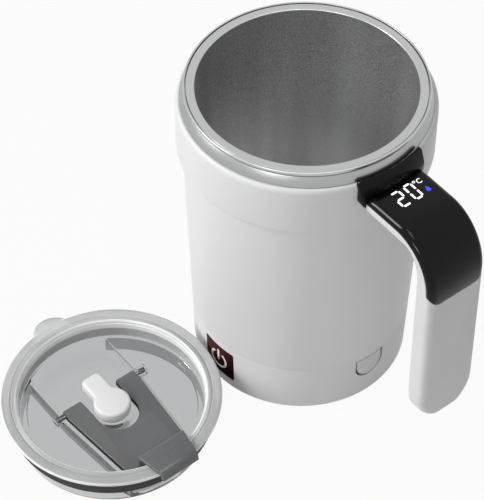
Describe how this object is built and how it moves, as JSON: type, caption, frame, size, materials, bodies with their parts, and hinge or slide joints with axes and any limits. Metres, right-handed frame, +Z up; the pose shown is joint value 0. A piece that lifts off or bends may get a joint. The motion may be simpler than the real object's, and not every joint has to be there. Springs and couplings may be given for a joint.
{
  "type": "self-stirring mug",
  "caption": "Steel-lined drinking mug with a magnetic stirrer, a handle with a temperature display and a clear flip lid lying beside it.",
  "frame": {"origin": "middle of the mug's foot, on the surface that it stands on", "axes": "+Z up along the mug's axis; +X towards the handle; the power button faces -Y, and the lid lies on that side"},
  "size_m": [0.1347, 0.1721, 0.13],
  "materials": {
    "white_plastic": "satin moulded plastic",
    "flap_plastic": "matt soft-touch rubber",
    "grip_plastic": "satin moulded plastic",
    "black_gloss": "piano-black gloss",
    "black_plastic": "smooth black",
    "brushed_steel": "brushed round the axis",
    "blasted_steel": "coarse sand-blasted",
    "plain_steel": "plain bright metal",
    "dark_rubber": "matt",
    "button_glass": "dark glossy",
    "clear_plastic": "clear moulded plastic",
    "lever_plastic": "satin grey",
    "white_silicone": "matt silicone",
    "circuit_green": "solder mask",
    "battery_foil": "foil pouch",
    "lead_red": "wire insulation",
    "foam_grey": "closed-cell foam"
  },
  "bodies": {
    "mug": {"outer_shell": "white_plastic", "upper_collar": "white_plastic", "base_ring": "white_plastic", "base_cover": "white_plastic", "foot_pad": "dark_rubber", "neck_band": "brushed_steel", "rim_ring": "brushed_steel", "rim_seal": "dark_rubber", "inner_cup": "blasted_steel", "motor_deck": "black_plastic", "motor": "plain_steel", "temp_sensor": "black_plastic", "sensor_foam": "foam_grey", "main_board": "circuit_green", "battery": "battery_foil", "usb_socket": "plain_steel", "power_switch": "black_plastic", "motor_lead": "lead_red", "battery_lead": "lead_red", "display_lead": "lead_red", "base_screw_1": "plain_steel", "base_screw_2": "plain_steel", "base_screw_3": "plain_steel", "board_screw_1": "plain_steel", "board_screw_2": "plain_steel", "board_screw_3": "plain_steel", "deck_screw_1": "plain_steel", "deck_screw_2": "plain_steel", "deck_screw_3": "plain_steel", "motor_screw_front": "plain_steel", "motor_screw_rear": "plain_steel", "handle_screw_left": "plain_steel", "handle_screw_right": "plain_steel", "handle_bracket": "black_plastic", "handle_grip": "grip_plastic", "handle_cover": "black_gloss", "display_board": "circuit_green", "display_module": "white_plastic"},
    "motor_rotor": {"motor_shaft": "plain_steel", "magnet_carrier": "white_plastic", "drive_magnet_left": "plain_steel", "drive_magnet_right": "plain_steel"},
    "stirrer": {"stir_rotor": "white_silicone", "rotor_magnet_left": "plain_steel", "rotor_magnet_right": "plain_steel"},
    "button": {"power_button": "button_glass"},
    "flap": {"port_flap": "flap_plastic"},
    "lid": {"lid_body": "clear_plastic", "lid_gasket": "dark_rubber", "lever_pin_left": "plain_steel", "lever_pin_right": "plain_steel"},
    "lever": {"flip_lever": "lever_plastic", "sip_pad": "white_silicone"},
    "stopper": {"centre_stopper": "white_silicone"}
  },
  "joints": [
    {"name": "stir_drive", "type": "hinge", "parent": "mug", "child": "motor_rotor", "pos_m": [0, 0, 0.0419], "axis": [0, 0, 1], "continuous": true},
    {"name": "stir_follow", "type": "hinge", "parent": "mug", "child": "stirrer", "pos_m": [0, 0, 0.0477], "axis": [0, 0, 1], "continuous": true},
    {"name": "power_press", "type": "slide", "parent": "mug", "child": "button", "axis": [0, 1, 0], "range_m": [0, 0.0006], "stiffness_N_per_m": 1000, "springref_m": -0.0004},
    {"name": "port_flap_hinge", "type": "hinge", "parent": "mug", "child": "flap", "pos_m": [0.04095, 0, 0.02035], "axis": [0, -1, 0], "range_deg": [0, 90]},
    {"name": "lid_lift", "type": "slide", "parent": "mug", "child": "lid", "axis": [0, 0, 1], "range_m": [0, 0.03]},
    {"name": "lever_flip", "type": "hinge", "parent": "lid", "child": "lever", "pos_m": [-0.0144, -0.0849, 0.0075], "axis": [0, -1, 0], "range_deg": [0, 140]},
    {"name": "stopper_pull", "type": "slide", "parent": "lid", "child": "stopper", "axis": [0, 0, 1], "range_m": [0, 0.012]}
  ],
  "couplings": [
    {"joint": "stir_follow", "follows": "stir_drive", "ratio": 1}
  ]
}
